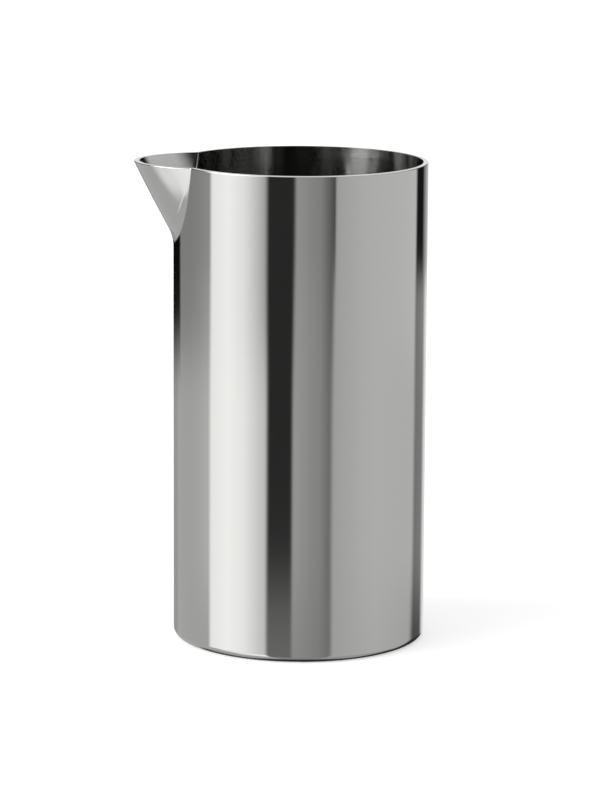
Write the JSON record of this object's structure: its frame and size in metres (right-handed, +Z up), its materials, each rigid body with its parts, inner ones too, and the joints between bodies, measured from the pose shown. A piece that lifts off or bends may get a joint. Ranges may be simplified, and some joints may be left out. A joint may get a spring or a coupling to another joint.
{
  "type": "cream jug",
  "caption": "Small straight-sided steel cream jug with a rounded pouring beak at its rim, a flat pressed base and no handle.",
  "frame": {"origin": "on the table under the tube's axis, at the centre of the flat base", "axes": "+Z up along the tube's axis, -X towards the spout's tip"},
  "size_m": [0.0577, 0.05, 0.095],
  "materials": {
    "satin_steel": "fine satin polish outside, fine lines round the inside",
    "weld_steel": "weld metal, dressed smooth"
  },
  "bodies": {
    "root": {"wall": "satin_steel", "spout": "satin_steel", "base": "satin_steel", "spout_weld": "weld_steel", "base_weld": "weld_steel"}
  },
  "joints": []
}
